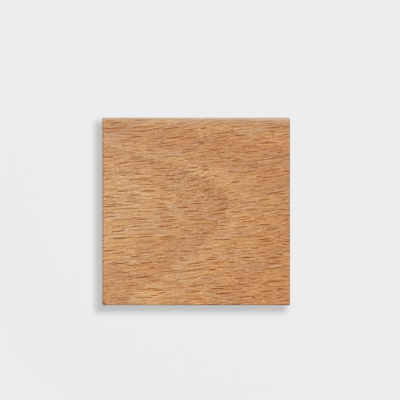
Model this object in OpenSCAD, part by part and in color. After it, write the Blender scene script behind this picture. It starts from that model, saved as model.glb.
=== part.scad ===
// Solid beech cube with sanded edges.
// It stands on its base, with its origin at the middle of the base. The grain
// runs along X, so the two faces across X show end grain and the top is flat-sawn.

/* [Block] */
// Length along the grain, left to right
block_w = 50; // [20:1:100]
// Depth across the grain, near to far
block_d = 50; // [20:1:100]
// Height
block_h = 50; // [5:1:100]

/* [Edges] */
// Radius that sanding leaves on every edge
arris_r = 0.4; // [0.2:0.1:1.5]
// Extra radius of the near left upright edge, which is worn rounder than the rest
worn_extra_r = 0.2; // [0.1:0.1:2]
// Depth that hand sanding takes off the far top edge, at its wide right-hand end
far_flat_cut = 0.5; // [0.1:0.1:2]
// Length of that flat, from the right-hand face to where it runs out
far_flat_len = 37; // [10:1:100]

/* [Hidden] */
$fn = 64;
worn_r = arris_r + worn_extra_r;
// Radii of the four upright edges: near right, far right, far left, near left
upright_rs = [arris_r, arris_r, arris_r, worn_r];
// How far in from the square corner a 45-degree plane only grazes a rounded edge
graze = arris_r * (2 - sqrt(2));
// Turn of the sanded flat about the 45-degree line, so that it runs out to the left
flat_turn = atan(far_flat_cut / far_flat_len / sqrt(2));
// Longer than any line inside the block, for the tool that cuts the flat
past_all = block_w + block_d + block_h;

// Upright section from an inner line out to a face, with the face's top and bottom
// edges rounded. Extruded it is the side of the block, and turned an upright edge.
module rounded_section(out) {
    intersection() {
        union() {
            if (out > arris_r) square([out - arris_r, block_h]);
            translate([0, arris_r]) square([out, block_h - 2 * arris_r]);
            for (z = [arris_r, block_h - arris_r])
                translate([out - arris_r, z]) circle(arris_r);
        }
        square([out, block_h]);
    }
}

// One side of the block, reaching in to the middle, and the upright edge that ends
// it. Sides are numbered anticlockwise from the right-hand one.
module side(i) {
    out = (i % 2 == 0 ? block_w : block_d) / 2;
    half_length = (i % 2 == 0 ? block_d : block_w) / 2;
    r_before = upright_rs[i];
    r_after = upright_rs[(i + 1) % 4];
    rotate([0, 0, 90 * i]) {
        translate([0, half_length - r_after, 0])
            rotate([90, 0, 0])
                linear_extrude(2 * half_length - r_before - r_after)
                    rounded_section(out);
        translate([out - r_after, half_length - r_after, 0])
            rotate_extrude()
                rounded_section(r_after);
    }
}

// What hand sanding took off the far top edge: all above a plane that grazes the
// rounded edge at its left end and cuts deeper towards the right-hand face.
module far_flat_waste() {
    translate([block_w / 2 - far_flat_len, block_d / 2 - graze / 2, block_h - graze / 2])
        rotate([-45, 0, 0])
            rotate([0, flat_turn, 0])
                translate([-past_all, -past_all, 0])
                    cube([2 * past_all, 2 * past_all, past_all]);
}

module wooden_cube() {
    color("#C49165")
        difference() {
            union() {
                for (i = [0:3]) side(i);
            }
            far_flat_waste();
        }
}

wooden_cube();  // cube
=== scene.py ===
import math

import bmesh
import bpy
from bpy.props import FloatProperty, FloatVectorProperty, IntProperty, PointerProperty
from bpy.types import Operator, Panel, PropertyGroup
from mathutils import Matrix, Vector


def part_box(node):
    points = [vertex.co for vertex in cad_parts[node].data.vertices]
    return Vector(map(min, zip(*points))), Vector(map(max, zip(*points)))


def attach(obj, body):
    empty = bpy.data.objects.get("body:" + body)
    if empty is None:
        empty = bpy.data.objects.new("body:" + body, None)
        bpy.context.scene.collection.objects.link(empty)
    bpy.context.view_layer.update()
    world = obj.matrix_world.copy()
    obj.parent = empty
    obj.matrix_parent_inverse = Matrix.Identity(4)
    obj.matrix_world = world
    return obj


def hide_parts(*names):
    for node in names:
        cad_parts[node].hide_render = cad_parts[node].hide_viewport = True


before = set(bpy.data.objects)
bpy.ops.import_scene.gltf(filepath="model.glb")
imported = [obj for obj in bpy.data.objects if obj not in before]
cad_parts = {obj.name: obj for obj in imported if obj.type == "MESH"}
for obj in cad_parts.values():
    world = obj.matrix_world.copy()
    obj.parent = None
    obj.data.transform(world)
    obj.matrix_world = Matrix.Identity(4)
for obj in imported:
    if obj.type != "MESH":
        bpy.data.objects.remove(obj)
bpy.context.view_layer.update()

bl_info = {
    "name": "Beech Cube",
    "version": (1, 0, 0),
    "blender": (4, 5, 0),
    "location": "View3D > Sidebar > Beech Cube",
    "description": "Builds a sanded beech cube and the plain stage that it stands on",
    "category": "Object",
}

LOW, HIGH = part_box("cube")
SIZE = HIGH - LOW
MM = 0.001
WHITE = (1.0, 1.0, 1.0, 1.0)


def linear(hex_colour):
    """Turn an sRGB hex colour such as #C49165 into linear red, green, blue and alpha."""
    channels = [int(hex_colour[i:i + 2], 16) / 255 for i in (1, 3, 5)]
    return [c / 12.92 if c <= 0.04045 else ((c + 0.055) / 1.055) ** 2.4 for c in channels] + [1.0]


def add(tree, kind, feeds=None, **settings):
    """Add a node with its settings. Feeds go into sockets by name or number: a value, a node or a socket."""
    node = tree.nodes.new(kind)
    for name, value in settings.items():
        setattr(node, name, value)
    for key, value in (feeds or {}).items():
        named = [s for s in node.inputs if s.enabled and s.name == key]
        socket = node.inputs[key] if isinstance(key, int) else named[0]
        if isinstance(value, bpy.types.Node):
            value = next(s for s in value.outputs if s.enabled)
        if isinstance(value, bpy.types.NodeSocket):
            tree.links.new(value, socket)
        else:
            socket.default_value = value
    return node


# ---------------------------------------------------------------- settings


def length(name, description, millimetres):
    """A length that a user can change, written here in millimetres."""
    return FloatProperty(name=name, description=description, default=millimetres * MM, min=0.0,
                         unit="LENGTH", precision=5)


def strength(name, description, value):
    """A strength that a user can change, from nothing upwards."""
    return FloatProperty(name=name, description=description, default=value, min=0.0)


def colour(name, description, hex_colour):
    """A colour that a user can change."""
    return FloatVectorProperty(name=name, description=description, default=linear(hex_colour), size=4,
                               subtype="COLOR", min=0.0, max=1.0)


class BlockShape(PropertyGroup):
    """How the block's edges were eased"""

    arris: length("Arris radius", "Radius that sanding leaves on every edge", 0.4)
    arris_drift: length("Arris drift", "How far that radius drifts along an edge sanded by hand", 0.12)
    worn_extra: length("Worn edge", "Extra radius of the near left upright edge", 0.2)
    worn_reach: length("Worn reach", "How far from that edge the extra rounding dies away", 3.0)
    flat_cut: length("Flat depth", "Depth sanded off the far top edge at its wide right-hand end", 0.5)
    flat_length: length("Flat length", "Length of that flat, from the right-hand face to its end", 37.0)
    face_cells: IntProperty(
        name="Cells across a face", description="Mesh cells between the rounded edges of a face",
        default=96, min=8)
    arris_cells: IntProperty(
        name="Cells in an arris", description="Mesh cells from a face to the middle of its rounded edge",
        default=5, min=2)


class BeechGrain(PropertyGroup):
    """Where the block lay in the log, and the sizes of what grew in it"""

    arch_tip: FloatVectorProperty(
        name="Arch tip", description="Point of the top face at which a growth ring's edge turns back",
        default=(5.1 * MM, 1.25 * MM, HIGH.z), unit="LENGTH", precision=5)
    pith_depth: length("Pith depth", "Depth of the log's pith under that point", 170.0)
    log_turn: FloatProperty(
        name="Turn of the log", description="Turn of the log's length from the block's, seen from above",
        default=math.radians(0.24), unit="ROTATION")
    dive: FloatProperty(
        name="Dive of the log", description="How steeply the log's length runs out of the top face",
        default=math.radians(1.94), unit="ROTATION")
    ring_widths: FloatVectorProperty(
        name="Ring widths", description="Growth in each of four years, outwards from the arch's edge",
        default=(0.84 * MM, 0.61 * MM, 1.5 * MM, 1.6 * MM), size=4, unit="LENGTH", precision=5)
    seed: FloatProperty(
        name="Seed", description="Picks another run of the fibres' wander",
        default=33.4)
    wander: length("Wander", "How far the fibres swing from side to side", 3.0)
    spiral: FloatProperty(
        name="Spiral grain", description="Turn of the fibres from the log's own length",
        default=math.radians(4.75), unit="ROTATION")
    ripple: length("Ripple", "How far a growth ring strays from its smooth line", 0.35)
    ring_contrast: strength("Ring contrast", "How strongly the growth rings' shades show", 1.0)
    amber_drift: strength("Amber drift", "How far the wood turns amber along the block", 1.0)
    bundle_length: length("Bundle length", "Length of the bundles of fibres that differ in hue", 9.0)
    bundle_width: length("Bundle width", "Width of those bundles", 2.6)
    hue_flicker: strength("Hue flicker", "How much neighbouring bundles of fibres differ in hue", 1.0)
    ray_height: length("Ray height", "Height of a broad ray along the grain, seen as a fleck's length", 4.05)
    ray_width: length("Ray width", "Thickness of a broad ray, seen as a fleck's width", 0.322)
    ray_spacing: length("Ray spacing", "Distance between broad rays round the log", 1.29)
    ray_strength: strength("Ray strength", "How far a ray's own colour covers the wood", 1.21)
    ray_sharpness: FloatProperty(
        name="Ray sharpness", description="Share of a ray that has its full colour, before it fades",
        default=0.669, min=0.0, max=0.95)
    fine_rays: strength("Fine rays", "Strength of the smaller rays between the broad ones", 0.538)
    side_fade: FloatProperty(
        name="Side fade", description="How much weaker a ray shows on the two sides cut along the rays",
        default=0.5, min=0.0, max=1.0)
    end_fade: FloatProperty(
        name="End fade", description="How much weaker a ray shows on the end grain",
        default=0.45, min=0.0, max=1.0)
    ray_fray: strength("Ray fray", "How ragged a ray's outline is on those two sides", 1.7)
    ray_rim: strength("Ray rim", "How much paler the wood is right beside a ray", 0.107)
    # Glints are painted highlights: pale specks in the wood's colour where short cut fibres catch the light
    glint_length: length("Glint length", "Length of the short pale fibres that catch the light", 1.11)
    glint_width: length("Glint width", "Width of the short pale fibres", 0.15)
    glint_strength: strength("Glint strength", "How far the pale fibres' own colour covers the wood", 0.112)
    fibre_length: length("Fibre length", "Length of the soft streaks", 4.87)
    fibre_width: length("Fibre width", "Width of the soft streaks", 0.433)
    fibre_contrast: strength("Fibre contrast", "Strength of the soft streaks", 0.229)
    vessel_length: length("Vessel length", "Length of the long thin streaks that vessels leave", 17.3)
    vessel_width: length("Vessel width", "Width of the long thin streaks", 0.126)
    vessel_contrast: strength("Vessel contrast", "Strength of the long thin streaks", 0.803)
    crispness: strength("Crispness", "How strongly a streak stands out from the wood to its sides", 0.637)
    crisp_gap: length("Crisp gap", "How far to its sides that is", 0.464)
    pore_length: length("Pore length", "Length of the pores, which make the finest grain", 0.727)
    pore_width: length("Pore width", "Width of the pores", 0.147)
    pore_contrast: strength("Pore contrast", "Strength of that finest grain", 1.02)
    line_start: FloatProperty(
        name="Line start", description="How high the vessels' noise runs before it shows as a dark line",
        default=0.0286)
    line_fade: FloatProperty(
        name="Line fade", description="How much higher it runs before the line has its full colour",
        default=0.0893, min=0.001)
    line_strength: strength("Line strength", "How far a line's own colour covers the wood", 0.418)


class BeechColours(PropertyGroup):
    """Colours of clear-finished steamed beech"""

    dark: colour("Dark wood", "Darkest streaks of the latewood", "#A26C35")
    middle: colour("Middle wood", "Colour of most of the wood", "#CD9E71")
    pale: colour("Pale wood", "Lightest streaks of the earlywood", "#E1C4A8")
    line: colour("Line", "Orange-brown of the cut vessels, which hold more of the finish", "#9F5D18")
    ray: colour("Ray", "Red-brown of the rays, broad and fine", "#8F4805")
    # Glint: colour of the painted highlights where short fibres catch the light
    glint: colour("Glint", "Straw colour of the short pale fibres", "#E3C5AC")
    latewood: colour("Latewood shade", "Red-brown shade at the end of a year's growth", "#F0E3DD")
    lean_wood: colour("Lean wood shade", "Shade of the first wood of a lean year", "#F9F1EB")
    amber: colour("Amber shade", "Shade that the wood drifts to", "#F5EBDD")
    near_shade: colour("Near shade", "Shade of the wood towards the near side", "#FFFFF9")
    far_shade: colour("Far shade", "Greyer shade of the wood towards the far side", "#F9FBFF")
    golden: colour("Golden tint", "Tint of the yellower fibres", "#FFFDED")
    grey: colour("Grey tint", "Tint of the greyer fibres", "#F9FCFF")
    rose: colour("Rose tint", "Tint of the pinker fibres", "#FFFBFD")
    end_grain: colour("End grain", "End grain soaks up the finish and turns darker by this colour", "#DDCDBE")
    side_grain: colour("Side grain", "Shade that rays give the two sides cut along them", "#FFF7E8")


class PaintedEdgeLight(PropertyGroup):
    """Painted highlight and painted shade along the edges"""

    # Painted highlight: a pale colour along the far top edge's flat that stands in for the sheen of the lit
    # flat
    highlight_width: length("Rub width", "How far the pale rubbing reaches from the far top edge's left end", 1.6)
    highlight_spread: length("Rub spread", "How much further it reaches at the right end", 1.2)
    highlight_strength: FloatProperty(
        name="Rub strength", description="How far the rubbed colour covers the wood at that edge",
        default=0.75, min=0.0, max=1.0)
    painted_highlight: colour("Rubbed wood", "Pale colour of wood that was sanded through its finish", "#C8B19A")
    # Painted shade at the worn corner and along the left and near top edges, which face away from the light
    corner_shade_reach: length("Mark reach", "How far the dark hand mark reaches from the worn corner", 1.7)
    corner_shade_strength: FloatProperty(
        name="Mark strength", description="How dark that mark is",
        default=1.0, min=0.0, max=1.0)
    left_edge_shade_reach: length("Line reach", "How far the faint dark line reaches from the left top edge", 0.6)
    line_strength: FloatProperty(
        name="Line strength", description="How dark that line is",
        default=0.3, min=0.0, max=1.0)
    near_edge_shade_reach: length("Rim reach", "How far the dark rim reaches from the near top edge", 0.42)
    near_edge_shade_strength: FloatProperty(
        name="Rim strength", description="How dark that rim is",
        default=0.6, min=0.0, max=1.0)
    # Mark shade: the colour of that painted shade, which multiplies the wood
    mark: colour("Mark shade", "Grey shade that handling left at the worn corner and two edges", "#9CA0B0")


class StageSettings(PropertyGroup):
    """Camera, floor and lamps"""

    camera_place: FloatVectorProperty(
        name="Camera over", description="Point of the top face straight under the camera",
        default=(1.03 * MM, 3.06 * MM, HIGH.z), unit="LENGTH", precision=5)
    view_width: length("View width", "Width of the picture in the plane of the top face", 106.5)
    lens: FloatProperty(
        name="Lens", description="Focal length",
        default=200.0, unit="CAMERA")
    floor: colour("Floor", "Colour of the floor and the background", "#EDEDED")
    overhead: strength("Overhead light", "Strength of the soft light from straight above", 1.76)
    key: FloatProperty(
        name="Key light", description="Power of the small lamp that casts the shadow",
        default=0.995, min=0.0, unit="POWER")
    key_place: FloatVectorProperty(
        name="Key place", description="Place of that lamp",
        default=(15.6 * MM, 17.8 * MM, 515.0 * MM), unit="LENGTH", precision=4)
    key_width: length("Key width", "Width of that lamp, which sets how soft the shadow's edge is", 25.0)
    ambient: strength("Ambient light", "Strength of the even light from all round", 0.06)


class CubeSettings(PropertyGroup):
    """Everything that the panel shows"""

    shape: PointerProperty(type=BlockShape)
    grain: PointerProperty(type=BeechGrain)
    colours: PointerProperty(type=BeechColours)
    edge_light: PointerProperty(type=PaintedEdgeLight)
    stage: PointerProperty(type=StageSettings)


# ---------------------------------------------------------------- the block's form

CELL_CROWDING = 1.5                 # power by which the mesh cells shrink towards the edges
DRIFT_WAVES = 90.0                  # swings of the arris radius in a metre
DRIFT_RANGE = (0.3, 0.7)            # noise at which that radius is least and greatest


def eased_block_tree(material):
    """Geometry Nodes that make a block with rounded edges from a grid that is finest at the edges."""
    tree = bpy.data.node_groups.new("Eased block", "GeometryNodeTree")
    sockets = {
        name: tree.interface.new_socket(name, in_out="INPUT", socket_type=kind)
        for name, kind in (
            ("Size", "NodeSocketVector"), ("Arris", "NodeSocketFloat"), ("Arris drift", "NodeSocketFloat"),
            ("Worn extra", "NodeSocketFloat"), ("Worn reach", "NodeSocketFloat"),
            ("Flat start", "NodeSocketVector"), ("Flat normal", "NodeSocketVector"),
            ("Face cells", "NodeSocketInt"), ("Arris cells", "NodeSocketInt"))}
    tree.interface.new_socket("Geometry", in_out="OUTPUT", socket_type="NodeSocketGeometry")
    given = add(tree, "NodeGroupInput").outputs

    # A grid on a cube that reaches from -1 to 1
    cells = add(tree, "ShaderNodeMath", {0: given["Arris cells"], 1: 2.0, 2: given["Face cells"]},
                operation="MULTIPLY_ADD")
    points = add(tree, "ShaderNodeMath", {0: cells, 1: 1.0}, operation="ADD")
    grid = add(tree, "GeometryNodeMeshCube", {
        "Size": (2.0, 2.0, 2.0), "Vertices X": points, "Vertices Y": points, "Vertices Z": points})
    place = add(tree, "GeometryNodeInputPosition")
    side = add(tree, "ShaderNodeVectorMath", {0: place}, operation="SIGN")
    out = add(tree, "ShaderNodeVectorMath", {0: place}, operation="ABSOLUTE")

    # Each axis is a flat stretch and then the arris
    flat_share = add(tree, "ShaderNodeMath", {0: given["Face cells"], 1: cells}, operation="DIVIDE")
    along_flat = add(tree, "ShaderNodeVectorMath", {0: out, 1: flat_share}, operation="DIVIDE")
    along_flat = add(tree, "ShaderNodeVectorMath", {0: along_flat, 1: (1.0, 1.0, 1.0)}, operation="MINIMUM")
    arris_share = add(tree, "ShaderNodeMath", {0: 1.0, 1: flat_share}, operation="SUBTRACT")
    along_arris = add(tree, "ShaderNodeVectorMath", {0: out, 1: flat_share}, operation="SUBTRACT")
    along_arris = add(tree, "ShaderNodeVectorMath", {0: along_arris, 1: arris_share}, operation="DIVIDE")
    along_arris = add(tree, "ShaderNodeVectorMath", {0: along_arris}, operation="MAXIMUM")

    # Cells shrink towards the edges
    left_over = add(tree, "ShaderNodeVectorMath", {0: (1.0, 1.0, 1.0), 1: along_flat}, operation="SUBTRACT")
    parts = add(tree, "ShaderNodeSeparateXYZ", {0: left_over})
    shrunk = add(tree, "ShaderNodeCombineXYZ", {
        i: add(tree, "ShaderNodeMath", {0: parts.outputs[i], 1: CELL_CROWDING}, operation="POWER")
        for i in range(3)})
    spaced = add(tree, "ShaderNodeVectorMath", {0: (1.0, 1.0, 1.0), 1: shrunk}, operation="SUBTRACT")

    # The radius drifts along the edges, and is larger at the worn one
    half = add(tree, "ShaderNodeVectorMath", {0: given["Size"], 1: (0.5, 0.5, 0.5)}, operation="MULTIPLY")
    rough_place = add(tree, "ShaderNodeVectorMath", {0: place, 1: half}, operation="MULTIPLY")
    drift = add(tree, "ShaderNodeTexNoise", {"Vector": rough_place, "Scale": DRIFT_WAVES, "Detail": 1.0})
    drift = add(tree, "ShaderNodeMapRange", {
        "Value": drift, "From Min": DRIFT_RANGE[0], "From Max": DRIFT_RANGE[1],
        "To Min": -1.0, "To Max": 1.0})
    radius = add(tree, "ShaderNodeMath", {0: drift, 1: given["Arris drift"], 2: given["Arris"]},
                 operation="MULTIPLY_ADD")
    from_worn = add(tree, "ShaderNodeVectorMath", {0: rough_place, 1: half}, operation="ADD")
    from_worn = add(tree, "ShaderNodeVectorMath", {0: from_worn, 1: (1.0, 1.0, 0.0)}, operation="MULTIPLY")
    from_worn = add(tree, "ShaderNodeVectorMath", {0: from_worn}, operation="LENGTH")
    worn = add(tree, "ShaderNodeMapRange", {
        "Value": from_worn.outputs["Value"], "From Min": 0.0, "From Max": given["Worn reach"],
        "To Min": given["Worn extra"], "To Max": 0.0}, interpolation_type="SMOOTHSTEP")
    radius = add(tree, "ShaderNodeMath", {0: radius, 1: worn}, operation="ADD")

    # An inner box, and the arris's direction out from it, which turns by 45 degrees to its middle
    inner = add(tree, "ShaderNodeVectorMath", {0: half, 1: radius}, operation="SUBTRACT")
    inner = add(tree, "ShaderNodeVectorMath", {0: inner, 1: spaced}, operation="MULTIPLY")
    inner = add(tree, "ShaderNodeVectorMath", {0: inner, 1: side}, operation="MULTIPLY")
    turn = add(tree, "ShaderNodeVectorMath", {0: along_arris, "Scale": math.pi / 4}, operation="SCALE")
    turn = add(tree, "ShaderNodeVectorMath", {0: turn}, operation="TANGENT")
    turn = add(tree, "ShaderNodeVectorMath", {0: turn, 1: side}, operation="MULTIPLY")
    turn = add(tree, "ShaderNodeVectorMath", {0: turn}, operation="NORMALIZE")
    eased = add(tree, "ShaderNodeVectorMath", {0: turn, "Scale": radius}, operation="SCALE")
    eased = add(tree, "ShaderNodeVectorMath", {0: eased, 1: inner}, operation="ADD")

    # The flat: what stands proud of its plane goes back to it
    height = add(tree, "ShaderNodeVectorMath", {0: eased, 1: given["Flat start"]}, operation="SUBTRACT")
    proud = add(tree, "ShaderNodeVectorMath", {0: height, 1: given["Flat normal"]}, operation="DOT_PRODUCT")
    proud = add(tree, "ShaderNodeMath", {0: proud.outputs["Value"], 1: 0.0}, operation="MAXIMUM")
    waste = add(tree, "ShaderNodeVectorMath", {0: given["Flat normal"], "Scale": proud}, operation="SCALE")
    sanded = add(tree, "ShaderNodeVectorMath", {0: eased, 1: waste}, operation="SUBTRACT")
    lift = add(tree, "ShaderNodeVectorMath", {0: half, 1: (0.0, 0.0, 1.0)}, operation="MULTIPLY")
    standing = add(tree, "ShaderNodeVectorMath", {0: sanded, 1: lift}, operation="ADD")

    moved = add(tree, "GeometryNodeSetPosition", {"Geometry": grid, "Position": standing})
    smooth = add(tree, "GeometryNodeSetShadeSmooth", {"Geometry": moved})
    real = add(tree, "GeometryNodeRealizeInstances", {"Geometry": smooth})
    finished = add(tree, "GeometryNodeSetMaterial", {"Geometry": real, "Material": material})
    add(tree, "NodeGroupOutput", {"Geometry": finished})
    return tree, {name: socket.identifier for name, socket in sockets.items()}


def block_mesh(shape, material):
    """Make the block with its Geometry Nodes, and return it as a plain mesh."""
    tree, identifiers = eased_block_tree(material)
    # The flat runs out where its plane only grazes the rounded edge
    graze = shape.arris * (2 - math.sqrt(2))
    values = {
        "Size": SIZE,
        "Arris": shape.arris,
        "Arris drift": shape.arris_drift,
        "Worn extra": shape.worn_extra,
        "Worn reach": shape.worn_reach,
        "Flat start": SIZE / 2 - Vector((shape.flat_length, graze / 2, graze / 2)),
        "Flat normal": Vector((shape.flat_cut / shape.flat_length, 1.0, 1.0)).normalized(),
        "Face cells": shape.face_cells,
        "Arris cells": shape.arris_cells,
    }
    maker = bpy.data.objects.new("block_maker", bpy.data.meshes.new("block_maker"))
    bpy.context.scene.collection.objects.link(maker)
    modifier = maker.modifiers.new("Eased block", "NODES")
    modifier.node_group = tree
    for name, value in values.items():
        modifier[identifiers[name]] = value
    made = maker.evaluated_get(bpy.context.evaluated_depsgraph_get())
    mesh = bpy.data.meshes.new_from_object(made)
    bpy.data.objects.remove(maker)
    # The mesh starts with an empty material slot that no face uses
    mesh.materials.clear()
    mesh.materials.append(material)
    return mesh


# ---------------------------------------------------------------- the wood

# The log's frame is in millimetres, and so are the sizes here. A broad ray is drawn at its real size. A
# vessel is really about 0.07 mm wide and a fibre 0.02 mm, which is too fine to show. So vessels and
# pores are drawn twice as wide, and fibres in bundles.

# How the log grew
PITH_BOW_ASIDE = -0.0020            # the pith's bow to the side, for each square millimetre along it
PITH_BOW_OUTWARDS = 0.00019         # and its bow outwards
RING_UNEVENNESS = 0.0153            # how much closer the rings lie for each millimetre to the far side
WANDER_WAVES = (30.0, 20.0, 20.0)   # length and width of the fibres' swings
RIPPLE_WAVE = 6.25                  # length of a growth ring's ripples

# A growth ring
RING_EDGE = 0.04                    # width over which the last latewood turns into earlywood
SOFT_RING_EDGE = 0.05               # the same in the two wide years
EARLYWOOD_END = 0.12                # how far the first year's even earlywood reaches
LEAN_WOOD = 0.85                    # width over which the third year's first wood stops being lean
LATEWOOD = 0.6                      # width of the fourth year's latewood

# Shifts that keep one pattern of streaks apart from the other
FIBRE_SHIFT = (0.0, 0.0, 0.0)
VESSEL_SHIFT = (3.1, 7.7, 1.9)

# Spindles: how far apart they lie and half their size, as shares of the lengths given for them, and their
# pattern's shift. A ray reaches outwards for many millimetres, so its last shares are of 1 mm.
BROAD_RAYS = {"apart": (1.7, 1.0, 26.0), "half": (0.5, 0.5, 24.0), "shift": (0.4, 0.6, 0.8)}
FINE_RAYS = {"apart": (1.1, 0.65, 20.0), "half": (0.33, 0.36, 17.0), "shift": (2.6, 4.3, 5.8)}
GLINTS = {"apart": (1.6, 2.6, 2.6), "half": (0.5, 0.5, 0.5), "shift": (5.2, 1.4, 3.3)}
GLINT_SHARPNESS = 0.1               # share of a glint that has its full colour
SPINDLE_LEAST = (0.4, 0.7, 0.7)     # the smallest spindle's share of the usual size
SPINDLE_MOST = (1.9, 1.2, 1.2)      # and the largest one's
SPINDLE_FAINTEST = 0.45             # strength of the faintest spindle
BESIDE_RANGE = (2.5, 5.0)           # where the wood beside a spindle fades, in half sizes from its middle

# How the wood shows on a face
FACE_RANGE = (0.55, 0.9)            # how squarely a face looks along an axis, to count in part and in full
AMBER_LENGTH = 65.0                 # length over which the wood turns amber
AMBER_AT_TIP = 0.54                 # how far it has turned at the arch's tip
SHADE_WIDTH = 50.0                  # width over which the near shade turns into the far one
SHADE_AT_TIP = 0.5                  # how far it has turned at that tip
BUNDLE_RANGE = (0.38, 0.62)         # noise at which a bundle has its first tint and its second

# The satin clear finish, which mirrors a little less than a bare lacquer
FINISH = {"IOR": 1.5, "Specular IOR Level": 0.3}
DARK_ROUGHNESS = 0.52               # roughness of the darkest wood, whose fibres lie open
PALE_ROUGHNESS = 0.40               # and of the palest
RAY_DIP = 0.4                       # how much lower a ray lies than the fibres
RELIEF_STRENGTH = 0.35
RELIEF_HEIGHT = 0.02 * MM

# The painted shade at the worn corner and along two top edges
EDGE_SHADE_FADE_DOWN = 0.15               # how fast the painted shade at the worn corner fades down its edge, as a share of that across it
EDGE_SHADE_CORE = 0.2                     # share of a painted shade's reach that has its full shade


def strand(long, wide):
    """Size of a strand of wood in the log's frame: along the fibres, and both ways across them."""
    return long / MM, wide / MM, wide / MM


def spindles(tree, place, kind, apart, size, sharpness, fray=0.0):
    """Spindle-shaped cells: their mask and the wood beside them. Fray makes the outline ragged."""
    spacing = tuple(share * distance for share, distance in zip(kind["apart"], apart))
    half_size = tuple(share * whole for share, whole in zip(kind["half"], size))
    cell_place = add(tree, "ShaderNodeVectorMath", {0: place, 1: spacing}, operation="DIVIDE")
    cell_place = add(tree, "ShaderNodeVectorMath", {0: cell_place, 1: kind["shift"]}, operation="ADD")
    cells = add(tree, "ShaderNodeTexVoronoi", {"Vector": cell_place, "Scale": 1.0, "Randomness": 1.0})
    away = add(tree, "ShaderNodeVectorMath", {0: cell_place, 1: cells.outputs["Position"]},
               operation="SUBTRACT")
    halves_per_cell = tuple(whole / half for whole, half in zip(spacing, half_size))
    away = add(tree, "ShaderNodeVectorMath", {0: away, 1: halves_per_cell}, operation="MULTIPLY")
    # No two are of one size or shade: each cell's random colour sets them
    own_size = add(tree, "ShaderNodeMapRange", {
        "Vector": cells.outputs["Color"], "From Min": (0.0, 0.0, 0.0), "From Max": (1.0, 1.0, 1.0),
        "To Min": SPINDLE_LEAST, "To Max": SPINDLE_MOST}, data_type="FLOAT_VECTOR")
    away = add(tree, "ShaderNodeVectorMath", {0: away, 1: own_size.outputs["Vector"]}, operation="DIVIDE")
    distance = add(tree, "ShaderNodeVectorMath", {0: away}, operation="LENGTH").outputs["Value"]
    distance = add(tree, "ShaderNodeMath", {0: distance, 1: fray}, operation="ADD")
    mask, around = [
        add(tree, "ShaderNodeMapRange", {
            "Value": distance, "From Min": start, "From Max": end, "To Min": 1.0, "To Max": 0.0},
            interpolation_type="SMOOTHSTEP")
        for start, end in ((sharpness, 1.0), BESIDE_RANGE)]
    beside = add(tree, "ShaderNodeMath", {0: around, 1: mask}, operation="SUBTRACT")
    shade = add(tree, "ShaderNodeSeparateXYZ", {0: cells.outputs["Color"]})
    shade = add(tree, "ShaderNodeMapRange", {
        "Value": shade.outputs[2], "To Min": SPINDLE_FAINTEST, "To Max": 1.0})
    return [
        add(tree, "ShaderNodeMath", {0: part, 1: shade}, operation="MULTIPLY")
        for part in (mask, beside)]


def streaks(tree, fibre, size, shift, grain):
    """Stretched noise about zero, set off by the opposite shade at a gap to either side."""
    place = add(tree, "ShaderNodeVectorMath", {0: fibre, 1: size}, operation="DIVIDE")
    gap = grain.crisp_gap / MM / size[1]
    noises = []
    for aside in (0.0, gap, -gap):
        moved = Vector(shift) + Vector((0.0, aside, 0.0))
        moved = add(tree, "ShaderNodeVectorMath", {0: place, 1: moved}, operation="ADD")
        noises.append(add(tree, "ShaderNodeTexNoise", {"Vector": moved, "Scale": 1.0, "Detail": 1.0}))
    beside = add(tree, "ShaderNodeMath", {0: noises[1], 1: noises[2]}, operation="ADD")
    noise = add(tree, "ShaderNodeMath", {0: beside, 1: -grain.crispness / 2, 2: noises[0]},
                operation="MULTIPLY_ADD")
    return add(tree, "ShaderNodeMath", {0: noise, 1: (1 - grain.crispness) / 2}, operation="SUBTRACT")


def log_frames(tree, place, grain):
    """The log's frame, with X along it and Z out from its pith, and the one that follows its fibres."""
    pith = Vector(grain.arch_tip) - Vector((0.0, 0.0, grain.pith_depth))
    log = add(tree, "ShaderNodeMapping", {
        "Vector": place, "Location": pith, "Rotation": (0.0, grain.dive, grain.log_turn),
        "Scale": (MM, MM, MM)}, vector_type="TEXTURE")

    # Fibres wander a little from side to side
    wander = add(tree, "ShaderNodeVectorMath", {0: log, 1: WANDER_WAVES}, operation="DIVIDE")
    wander = add(tree, "ShaderNodeVectorMath", {0: wander, 1: (grain.seed, 0.0, 0.0)}, operation="ADD")
    wander = add(tree, "ShaderNodeTexNoise", {"Vector": wander, "Scale": 1.0, "Detail": 1.0})
    wander = add(tree, "ShaderNodeVectorMath", {0: wander.outputs["Color"], 1: (0.5, 0.5, 0.5)},
                 operation="SUBTRACT")
    swing = (0.0, grain.wander / MM, grain.wander / MM)
    wander = add(tree, "ShaderNodeVectorMath", {0: wander, 1: swing}, operation="MULTIPLY")
    fibre = add(tree, "ShaderNodeVectorMath", {0: log, 1: wander}, operation="ADD")

    # They also turn slowly round the log
    along = add(tree, "ShaderNodeSeparateXYZ", {0: log}).outputs["X"]
    spiral = add(tree, "ShaderNodeMath", {0: along, 1: -math.tan(grain.spiral)}, operation="MULTIPLY")
    spiral = add(tree, "ShaderNodeCombineXYZ", {1: spiral})
    fibre = add(tree, "ShaderNodeVectorMath", {0: fibre, 1: spiral}, operation="ADD")
    return log, fibre


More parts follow.
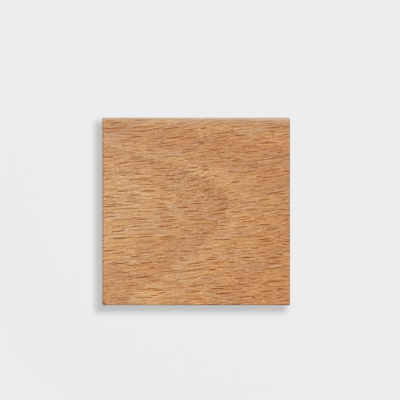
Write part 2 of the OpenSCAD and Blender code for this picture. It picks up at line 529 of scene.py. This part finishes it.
def growth_rings(tree, log, fibre, grain, colours):
    """Shade of each year's wood, by how far it lies from the pith."""
    # The pith bows with the square of the distance along it
    along, aside, out = add(tree, "ShaderNodeSeparateXYZ", {0: log}).outputs
    square = add(tree, "ShaderNodeMath", {0: along, 1: along}, operation="MULTIPLY")
    aside = add(tree, "ShaderNodeMath", {0: square, 1: PITH_BOW_ASIDE, 2: aside}, operation="MULTIPLY_ADD")
    out = add(tree, "ShaderNodeMath", {0: square, 1: PITH_BOW_OUTWARDS, 2: out}, operation="MULTIPLY_ADD")
    uneven = add(tree, "ShaderNodeMath", {0: aside, 1: RING_UNEVENNESS, 2: 1.0}, operation="MULTIPLY_ADD")
    aside = add(tree, "ShaderNodeMath", {0: aside, 1: uneven}, operation="MULTIPLY")
    radius = add(tree, "ShaderNodeCombineXYZ", {1: aside, 2: out})
    radius = add(tree, "ShaderNodeVectorMath", {0: radius}, operation="LENGTH").outputs["Value"]
    ripple = add(tree, "ShaderNodeTexNoise", {"Vector": fibre, "Scale": 1 / RIPPLE_WAVE, "Detail": 3.0})
    ripple = add(tree, "ShaderNodeMath", {0: ripple, 1: 0.5}, operation="SUBTRACT")
    radius = add(tree, "ShaderNodeMath", {0: ripple, 1: grain.ripple / MM, 2: radius},
                 operation="MULTIPLY_ADD")
    since = add(tree, "ShaderNodeMath", {0: radius, 1: grain.pith_depth / MM}, operation="SUBTRACT")

    # Four years of growth, which repeat. Each starts at the sharp edge of the last latewood and darkens
    # to its own. The second and the third start lean.
    second, third, fourth, end = [sum(grain.ring_widths[:years + 1]) / MM for years in range(4)]
    late, early, lean = colours.latewood, WHITE, colours.lean_wood
    stops = (
        (0.0, late), (RING_EDGE, early), (EARLYWOOD_END, early),
        (second, late), (second + RING_EDGE, lean),
        (third, late), (third + SOFT_RING_EDGE, lean), (third + LEAN_WOOD, early),
        (fourth, late), (fourth + SOFT_RING_EDGE, early), (end - LATEWOOD, early),
        (end, late))
    cycle = add(tree, "ShaderNodeMath", {0: since, 1: end}, operation="DIVIDE")
    cycle = add(tree, "ShaderNodeMath", {0: cycle}, operation="FRACT")
    year = add(tree, "ShaderNodeValToRGB", {"Fac": cycle})
    for place, _ in stops[1:-1]:
        year.color_ramp.elements.new(place / end)
    for element, (place, shade) in zip(year.color_ramp.elements, stops):
        element.position = place / end
        element.color = shade
    return year


def ray_flecks(tree, fibre, fray, grain):
    """The broad rays and the finer ones, and the wood right beside the broad ones."""
    # Rays stand out from the pith like spokes, so they lie in a frame of distance along the fibres,
    # arc round the log and distance outwards
    along, aside, out = add(tree, "ShaderNodeSeparateXYZ", {0: fibre}).outputs
    arc = add(tree, "ShaderNodeMath", {0: aside, 1: out}, operation="ARCTAN2")
    arc = add(tree, "ShaderNodeMath", {0: arc, 1: grain.pith_depth / MM}, operation="MULTIPLY")
    outwards = add(tree, "ShaderNodeCombineXYZ", {1: aside, 2: out})
    outwards = add(tree, "ShaderNodeVectorMath", {0: outwards}, operation="LENGTH").outputs["Value"]
    place = add(tree, "ShaderNodeCombineXYZ", {0: along, 1: arc, 2: outwards})
    apart = (grain.ray_height / MM, grain.ray_spacing / MM, 1.0)
    size = (grain.ray_height / MM, grain.ray_width / MM, 1.0)
    broad, beside = spindles(tree, place, BROAD_RAYS, apart, size, grain.ray_sharpness, fray)
    fine, _ = spindles(tree, place, FINE_RAYS, apart, size, grain.ray_sharpness, fray)
    fine = add(tree, "ShaderNodeMath", {0: fine, 1: grain.fine_rays}, operation="MULTIPLY")
    rays = add(tree, "ShaderNodeMath", {0: broad, 1: fine}, operation="MAXIMUM")
    rays = add(tree, "ShaderNodeMath", {0: rays, 1: grain.ray_strength}, operation="MULTIPLY")
    return rays, beside


def whole_shades(tree, log, fibre, grain, colours):
    """Shades that lie over the whole block, each with its share: along it, across it and bundle by bundle."""
    along, aside, _ = add(tree, "ShaderNodeSeparateXYZ", {0: log}).outputs
    amber = add(tree, "ShaderNodeMath", {0: along, 1: 1 / AMBER_LENGTH, 2: AMBER_AT_TIP},
                operation="MULTIPLY_ADD", use_clamp=True)
    amber = add(tree, "ShaderNodeMath", {0: amber, 1: grain.amber_drift}, operation="MULTIPLY")
    shade = add(tree, "ShaderNodeMath", {0: aside, 1: 1 / SHADE_WIDTH, 2: SHADE_AT_TIP},
                operation="MULTIPLY_ADD", use_clamp=True)
    shade = add(tree, "ShaderNodeMix", {"Factor": shade, "A": colours.near_shade, "B": colours.far_shade},
                data_type="RGBA")
    shades = [(amber, colours.amber), (1.0, shade)]
    size = strand(grain.bundle_length, grain.bundle_width)
    bundles = add(tree, "ShaderNodeVectorMath", {0: fibre, 1: size}, operation="DIVIDE")
    bundles = add(tree, "ShaderNodeTexNoise", {"Vector": bundles, "Scale": 1.0, "Detail": 3.0})
    bundles = add(tree, "ShaderNodeSeparateXYZ", {0: bundles.outputs["Color"]})
    for channel, first, second in ((0, colours.grey, colours.golden), (1, WHITE, colours.rose)):
        flicker = add(tree, "ShaderNodeMapRange", {
            "Value": bundles.outputs[channel], "From Min": BUNDLE_RANGE[0], "From Max": BUNDLE_RANGE[1],
            "To Max": grain.hue_flicker})
        tint = add(tree, "ShaderNodeMix", {"Factor": flicker, "A": first, "B": second}, data_type="RGBA")
        shades.append((1.0, tint))
    return shades


def paint_edge_light(tree, place, wood, edge_light):
    """Paint a highlight along the far top edge, and paint shade at the worn corner and along the left and
    near top edges.
    """
    # The painted highlight reaches further towards the right, and fades with the square of the distance
    from_far = add(tree, "ShaderNodeVectorMath", {0: place, 1: (0.0, HIGH.y, HIGH.z)}, operation="SUBTRACT")
    from_far = add(tree, "ShaderNodeVectorMath", {0: from_far, 1: (0.0, 1.0, 1.0)}, operation="MULTIPLY")
    from_far = add(tree, "ShaderNodeVectorMath", {0: from_far}, operation="LENGTH")
    to_right = add(tree, "ShaderNodeSeparateXYZ", {0: place}).outputs["X"]
    reach = add(tree, "ShaderNodeMapRange", {
        "Value": to_right, "From Min": LOW.x, "From Max": HIGH.x,
        "To Min": edge_light.highlight_width, "To Max": edge_light.highlight_width + edge_light.highlight_spread})
    painted_highlight = add(tree, "ShaderNodeMath", {0: from_far.outputs["Value"], 1: reach}, operation="DIVIDE")
    painted_highlight = add(tree, "ShaderNodeMath", {0: 1.0, 1: painted_highlight}, operation="SUBTRACT", use_clamp=True)
    painted_highlight = add(tree, "ShaderNodeMath", {0: painted_highlight, 1: 2.0}, operation="POWER")
    painted_highlight = add(tree, "ShaderNodeMath", {0: painted_highlight, 1: edge_light.highlight_strength}, operation="MULTIPLY")
    wood = add(tree, "ShaderNodeMix", {"Factor": painted_highlight, "A": wood, "B": edge_light.painted_highlight}, data_type="RGBA")

    # Painted shade at the worn corner, along the left top edge and along the near one, each by the axes that
    # its distance is taken on
    corner = add(tree, "ShaderNodeVectorMath", {0: place, 1: (LOW.x, LOW.y, HIGH.z)}, operation="SUBTRACT")
    dark = 0.0
    for axes, reach, strength in (
            ((1.0, 1.0, EDGE_SHADE_FADE_DOWN), edge_light.corner_shade_reach, edge_light.corner_shade_strength),
            ((1.0, 0.0, 1.0), edge_light.left_edge_shade_reach, edge_light.line_strength),
            ((0.0, 1.0, 1.0), edge_light.near_edge_shade_reach, edge_light.near_edge_shade_strength)):
        away = add(tree, "ShaderNodeVectorMath", {0: corner, 1: axes}, operation="MULTIPLY")
        away = add(tree, "ShaderNodeVectorMath", {0: away}, operation="LENGTH")
        mark = add(tree, "ShaderNodeMapRange", {
            "Value": away.outputs["Value"], "From Min": EDGE_SHADE_CORE * reach, "From Max": reach,
            "To Min": strength, "To Max": 0.0}, interpolation_type="SMOOTHSTEP")
        dark = add(tree, "ShaderNodeMath", {0: dark, 1: mark}, operation="MAXIMUM")
    return add(tree, "ShaderNodeMix", {"Factor": dark, "A": wood, "B": edge_light.mark}, data_type="RGBA",
               blend_type="MULTIPLY")


def beech_material(grain, colours, edge_light):
    """Steamed beech, sanded and clear finished: red-brown ray flecks over soft rings, with a satin shine."""
    material = bpy.data.materials.new("beech_satin")
    material.use_nodes = True
    tree = material.node_tree
    tree.nodes.clear()
    surface = add(tree, "ShaderNodeTexCoord").outputs
    log, fibre = log_frames(tree, surface["Object"], grain)

    # How the wood is cut: across its fibres at the ends, and along the rays on the two other sides
    facing = add(tree, "ShaderNodeVectorMath", {0: surface["Normal"]}, operation="ABSOLUTE")
    facing = add(tree, "ShaderNodeMapRange", {
        "Vector": facing, "From Min": (FACE_RANGE[0],) * 3, "From Max": (FACE_RANGE[1],) * 3,
        "To Min": (0.0, 0.0, 0.0), "To Max": (1.0, 1.0, 1.0)},
        data_type="FLOAT_VECTOR", interpolation_type="SMOOTHSTEP").outputs["Vector"]
    across, along_rays, _ = add(tree, "ShaderNodeSeparateXYZ", {0: facing}).outputs

    # Fibres, and the finer vessels and pores
    fibres = streaks(tree, fibre, strand(grain.fibre_length, grain.fibre_width), FIBRE_SHIFT, grain)
    vessels = streaks(tree, fibre, strand(grain.vessel_length, grain.vessel_width), VESSEL_SHIFT, grain)
    pores = add(tree, "ShaderNodeVectorMath", {0: fibre, 1: strand(grain.pore_length, grain.pore_width)},
                operation="DIVIDE")
    pores = add(tree, "ShaderNodeTexNoise", {"Vector": pores, "Scale": 1.0, "Detail": 0.0})
    pores = add(tree, "ShaderNodeMath", {0: pores, 1: 0.5}, operation="SUBTRACT")
    tone = add(tree, "ShaderNodeMath", {0: fibres, 1: grain.fibre_contrast}, operation="MULTIPLY")
    tone = add(tree, "ShaderNodeMath", {0: vessels, 1: -grain.vessel_contrast, 2: tone},
               operation="MULTIPLY_ADD")
    tone = add(tree, "ShaderNodeMath", {0: pores, 1: grain.pore_contrast, 2: tone}, operation="MULTIPLY_ADD")
    # A cut vessel is a thin dark line where its noise runs high
    lines = add(tree, "ShaderNodeMapRange", {
        "Value": vessels, "From Min": grain.line_start, "From Max": grain.line_start + grain.line_fade},
        interpolation_type="SMOOTHSTEP")
    lines = add(tree, "ShaderNodeMath", {0: lines, 1: grain.line_strength}, operation="MULTIPLY")

    # Rays. Where the cut runs along them they dip in and out of the surface, so their outline is ragged,
    # and wood shows through them there and on the ends
    fray = add(tree, "ShaderNodeMath", {0: fibres, 1: along_rays}, operation="MULTIPLY")
    fray = add(tree, "ShaderNodeMath", {0: fray, 1: grain.ray_fray}, operation="MULTIPLY")
    rays, beside = ray_flecks(tree, fibre, fray, grain)
    covered = add(tree, "ShaderNodeVectorMath", {0: facing, 1: (grain.end_fade, grain.side_fade, 0.0)},
                  operation="DOT_PRODUCT")
    shown = add(tree, "ShaderNodeMath", {0: 1.0, 1: covered.outputs["Value"]}, operation="SUBTRACT")
    rays = add(tree, "ShaderNodeMath", {0: rays, 1: shown}, operation="MULTIPLY")
    relief = add(tree, "ShaderNodeMath", {0: rays, 1: -RAY_DIP, 2: tone}, operation="MULTIPLY_ADD")
    tone = add(tree, "ShaderNodeMath", {0: beside, 1: grain.ray_rim, 2: tone}, operation="MULTIPLY_ADD")
    tone = add(tree, "ShaderNodeMath", {0: tone, 1: 0.5}, operation="ADD")

    # Glints: painted highlights, pale specks in the wood's colour where short cut fibres catch the light
    size = strand(grain.glint_length, grain.glint_width)
    glints, _ = spindles(tree, fibre, GLINTS, size, size, GLINT_SHARPNESS)
    glints = add(tree, "ShaderNodeMath", {0: glints, 1: grain.glint_strength}, operation="MULTIPLY")

    # Colour: what covers the wood, and then the shades that multiply it
    wood = add(tree, "ShaderNodeValToRGB", {"Fac": tone})
    wood.color_ramp.elements.new(0.5)
    for element, shade in zip(wood.color_ramp.elements, (colours.dark, colours.middle, colours.pale)):
        element.color = shade
    for cover, shade in ((glints, colours.glint), (lines, colours.line), (rays, colours.ray)):
        wood = add(tree, "ShaderNodeMix", {"Factor": cover, "A": wood, "B": shade}, data_type="RGBA")
    year = growth_rings(tree, log, fibre, grain, colours)
    shades = [(grain.ring_contrast, year)] + whole_shades(tree, log, fibre, grain, colours)
    shades += [(along_rays, colours.side_grain), (across, colours.end_grain)]
    for share, shade in shades:
        wood = add(tree, "ShaderNodeMix", {"Factor": share, "A": wood, "B": shade}, data_type="RGBA",
                   blend_type="MULTIPLY")
    # Painted highlight along the far top edge and painted shade at the worn corner and two top edges
    wood = paint_edge_light(tree, surface["Object"], wood, edge_light)

    bump = add(tree, "ShaderNodeBump", {
        "Height": relief, "Strength": RELIEF_STRENGTH, "Distance": RELIEF_HEIGHT})
    rough = add(tree, "ShaderNodeMapRange", {
        "Value": tone, "To Min": DARK_ROUGHNESS, "To Max": PALE_ROUGHNESS})
    finished = add(tree, "ShaderNodeBsdfPrincipled", {
        "Base Color": wood, "Roughness": rough, "Normal": bump, **FINISH})
    add(tree, "ShaderNodeOutputMaterial", {"Surface": finished})
    return material


class BEECH_OT_block(Operator):
    """Make the cube: its eased form and the solid wood that it is cut from"""

    bl_idname = "beech_cube.block"
    bl_label = "Make the cube"

    def execute(self, context):
        settings = context.scene.beech_cube
        material = beech_material(settings.grain, settings.colours, settings.edge_light)
        block = bpy.data.objects.new("cube_block", block_mesh(settings.shape, material))
        context.scene.collection.objects.link(block)
        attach(block, "root")
        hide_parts("cube")
        # The pale floor takes the cube's shadow, but not a glow of its colour
        block.visible_diffuse = False
        return {"FINISHED"}


# ---------------------------------------------------------------- the stage

SENSOR_WIDTH = 36.0                 # millimetres, as the lens is
CLIP_RANGE = (0.01, 10.0)           # nearest and furthest that the camera sees, in metres
FLOOR_HALF = 3.0                    # metres from the middle of the floor to its edge
FLOOR_GAP = 0.02 * MM               # between the floor and the cube, so that no two faces coincide
BOARD_RANGE = (45.0 * MM, 90.0 * MM)    # how far out the floor starts and ends to turn into even ground
OVERHEAD_ANGLE = math.radians(2)
SIDE_ANGLE = math.radians(20)

# Side lights fall on the cube alone, and stand in for reflectors round it: name, direction from the
# cube's middle, strength, and whether the satin finish mirrors it
SIDE_LIGHTS = (
    ("rim", (0.05, 1.0, 0.04), 0.95, True),
    ("right_fill", (1.0, 0.1, -0.60), 1.4, False),
    ("near_fill", (0.1, -1.0, -0.60), 1.0, False),
    ("left_fill", (-1.0, -0.1, -1.60), 1.3, False),
)


def floor_material(paint):
    """Matt painted board. Close to the cube it takes the shadow, and further out it is an even ground."""
    material = bpy.data.materials.new("pale_matt_board")
    material.use_nodes = True
    tree = material.node_tree
    tree.nodes.clear()
    board = add(tree, "ShaderNodeBsdfDiffuse", {"Color": paint})
    even = add(tree, "ShaderNodeEmission", {"Color": paint, "Strength": 1.0})
    place = add(tree, "ShaderNodeTexCoord")
    distance = add(tree, "ShaderNodeVectorMath", {0: place.outputs["Object"]}, operation="LENGTH")
    far = add(tree, "ShaderNodeMapRange", {
        "Value": distance.outputs["Value"], "From Min": BOARD_RANGE[0], "From Max": BOARD_RANGE[1]},
        interpolation_type="SMOOTHSTEP")
    seen = add(tree, "ShaderNodeLightPath")
    share = add(tree, "ShaderNodeMath", {0: far, 1: seen.outputs["Is Camera Ray"]}, operation="MULTIPLY")
    surface = add(tree, "ShaderNodeMixShader", {"Fac": share, 1: board, 2: even})
    add(tree, "ShaderNodeOutputMaterial", {"Surface": surface})
    return material


def lamp(name, kind, place, aim, energy, angle=None, width=None, only=None):
    """Add a lamp at a place, turned to an aim. Only is the collection that it lights and that shades it."""
    data = bpy.data.lights.new(name, kind)
    data.energy = energy
    if angle is not None:
        data.angle = angle
    if width is not None:
        data.shape = "DISK"
        data.size = width
    light = bpy.data.objects.new(name, data)
    light.location = place
    light.rotation_mode = "QUATERNION"
    light.rotation_quaternion = (Vector(aim) - Vector(place)).to_track_quat("-Z", "Y")
    light.visible_camera = False
    if only is not None:
        light.light_linking.receiver_collection = only
        light.light_linking.blocker_collection = only
    bpy.context.scene.collection.objects.link(light)
    return light


class BEECH_OT_stage(Operator):
    """Make the floor, the camera, the lamps and the background"""

    bl_idname = "beech_cube.stage"
    bl_label = "Make the stage"

    def execute(self, context):
        scene = context.scene
        stage = scene.beech_cube.stage
        scene.view_settings.view_transform = "Standard"

        floor = bpy.data.objects.new("floor", bpy.data.meshes.new("floor"))
        scene.collection.objects.link(floor)
        sheet = bmesh.new()
        sheet.faces.new([
            sheet.verts.new((x * FLOOR_HALF, y * FLOOR_HALF, -FLOOR_GAP))
            for x, y in ((-1, -1), (1, -1), (1, 1), (-1, 1))])
        sheet.to_mesh(floor.data)
        sheet.free()
        floor.data.materials.append(floor_material(stage.floor))

        # Camera straight above
        camera = bpy.data.objects.new("camera", bpy.data.cameras.new("camera"))
        camera.data.lens = stage.lens
        camera.data.sensor_width = SENSOR_WIDTH
        distance = stage.view_width * stage.lens / SENSOR_WIDTH
        camera.location = Vector(stage.camera_place) + Vector((0.0, 0.0, distance))
        camera.data.clip_start, camera.data.clip_end = CLIP_RANGE
        scene.collection.objects.link(camera)
        scene.camera = camera

        # Lamps. The overhead light and the key light fall on the whole stage.
        middle = (LOW + HIGH) / 2
        overhead = lamp("overhead", "SUN", middle + Vector((0.0, 0.0, 1.0)), middle, stage.overhead,
                        angle=OVERHEAD_ANGLE)
        under_key = (stage.key_place[0], stage.key_place[1], 0.0)
        key = lamp("key", "AREA", stage.key_place, under_key, stage.key, width=stage.key_width)
        for light in (overhead, key):
            light.visible_glossy = False
        cube_only = bpy.data.collections.new("cube_only")
        cube_only.objects.link(bpy.data.objects["cube_block"])
        for name, direction, strength, glossy in SIDE_LIGHTS:
            light = lamp(name, "SUN", middle + Vector(direction), middle, strength, angle=SIDE_ANGLE,
                         only=cube_only)
            light.visible_glossy = glossy

        # World: an even background for camera and reflections, and a little light from all round
        world = bpy.data.worlds.new("background")
        world.use_nodes = True
        tree = world.node_tree
        tree.nodes.clear()
        path = add(tree, "ShaderNodeLightPath").outputs
        shown = add(tree, "ShaderNodeMath", {0: path["Is Camera Ray"], 1: path["Is Glossy Ray"]},
                    operation="MAXIMUM")
        shown = add(tree, "ShaderNodeMath", {0: shown, 1: path["Is Transmission Ray"]}, operation="MAXIMUM")
        ambient = add(tree, "ShaderNodeBackground", {"Color": WHITE, "Strength": stage.ambient})
        background = add(tree, "ShaderNodeBackground", {"Color": stage.floor, "Strength": 1.0})
        mixed = add(tree, "ShaderNodeMixShader", {"Fac": shown, 1: ambient, 2: background})
        add(tree, "ShaderNodeOutputWorld", {"Surface": mixed})
        scene.world = world
        return {"FINISHED"}


class BEECH_PT_panel(Panel):
    """Lists the makers and the settings"""

    bl_label = "Beech Cube"
    bl_idname = "BEECH_PT_panel"
    bl_space_type = "VIEW_3D"
    bl_region_type = "UI"
    bl_category = "Beech Cube"

    def draw(self, context):
        settings = context.scene.beech_cube
        for operator in (BEECH_OT_block, BEECH_OT_stage):
            self.layout.operator(operator.bl_idname)
        for group in (settings.shape, settings.grain, settings.colours, settings.edge_light, settings.stage):
            box = self.layout.box()
            for name in group.__annotations__:
                box.prop(group, name)


CLASSES = (BlockShape, BeechGrain, BeechColours, PaintedEdgeLight, StageSettings, CubeSettings,
           BEECH_OT_block, BEECH_OT_stage, BEECH_PT_panel)


def register():
    for each in CLASSES:
        bpy.utils.register_class(each)
    bpy.types.Scene.beech_cube = PointerProperty(type=CubeSettings)


def unregister():
    del bpy.types.Scene.beech_cube
    for each in reversed(CLASSES):
        bpy.utils.unregister_class(each)


def main():
    register()
    bpy.ops.beech_cube.block()
    bpy.ops.beech_cube.stage()


if __name__ == "__main__":
    main()
